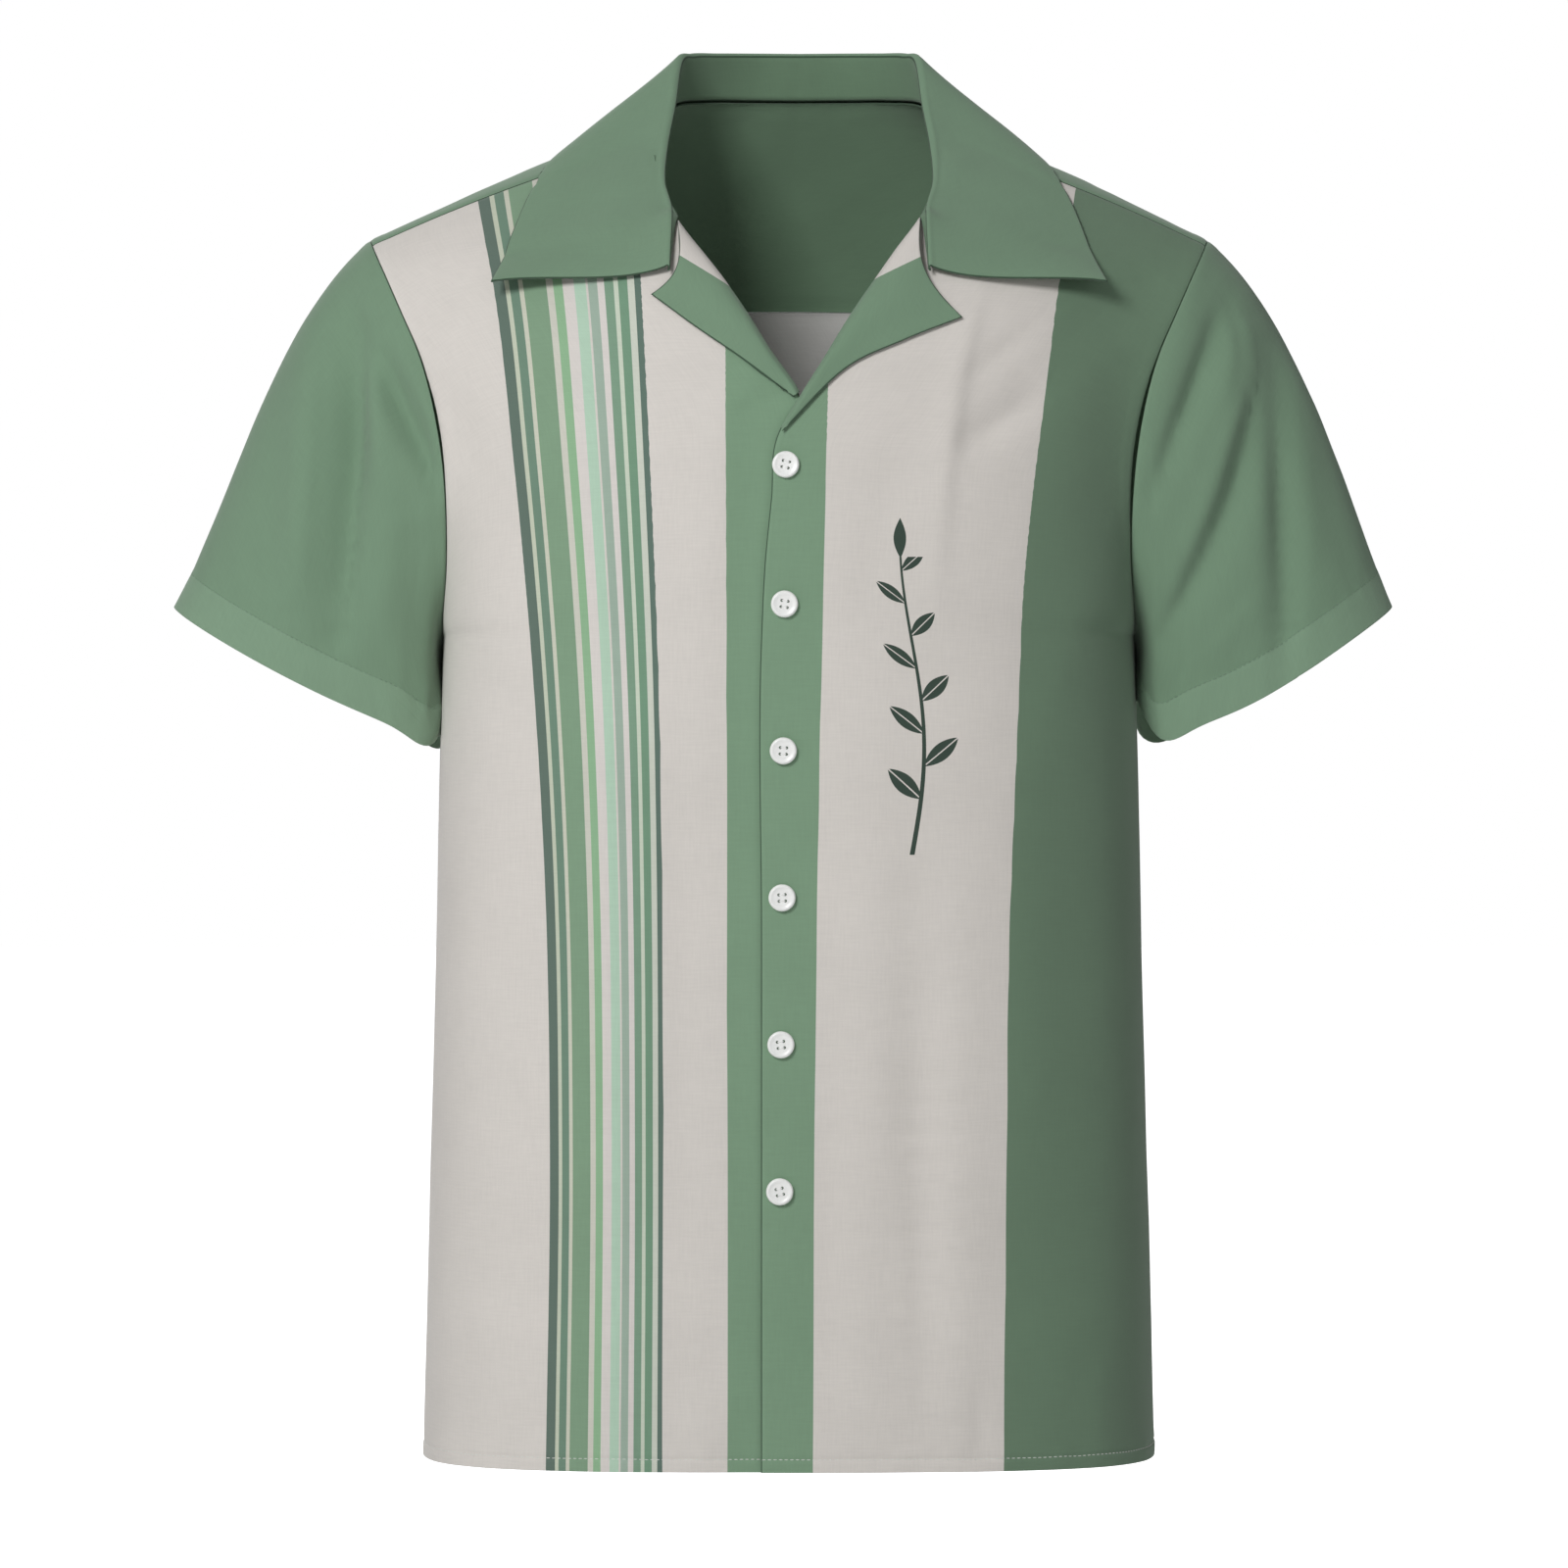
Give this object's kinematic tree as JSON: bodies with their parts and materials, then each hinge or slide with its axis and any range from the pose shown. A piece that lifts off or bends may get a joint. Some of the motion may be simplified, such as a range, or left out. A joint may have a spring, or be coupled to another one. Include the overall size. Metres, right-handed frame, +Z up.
{
  "type": "hawaiian shirt",
  "caption": "Short-sleeved camp-collar shirt with a button front, turned-out lapels, a back yoke and a printed stripe panel, filled out as if worn.",
  "frame": {"origin": "middle of the neck, level with the points where the shoulders meet it: where the wearer's shoulders hold the shirt", "axes": "+Z up along the shirt's length, +X to the wearer's left, -Y out of the front"},
  "size_m": [0.671, 0.2637, 0.7799],
  "materials": {
    "green_cloth": "matt sage green woven cotton",
    "front_left_print": "matt oatmeal woven cotton, printed with a green band at the opening and a green side panel",
    "front_right_print": "matt oatmeal woven cotton, printed with green stripes and a green band at the opening",
    "back_cloth": "matt oatmeal woven cotton, plain, paler inside",
    "lapel_cloth": "matt sage green woven cotton, oatmeal along the roll at the top",
    "button_white": "polished white resin"
  },
  "bodies": {
    "root": {"front_left": "front_left_print", "front_right": "front_right_print", "back": "back_cloth", "yoke": "green_cloth", "sleeve_left": "green_cloth", "sleeve_right": "green_cloth", "collar": "green_cloth", "lapel_left": "lapel_cloth", "lapel_right": "lapel_cloth", "button_1": "button_white", "button_2": "button_white", "button_3": "button_white", "button_4": "button_white", "button_5": "button_white", "button_6": "button_white"}
  },
  "joints": []
}
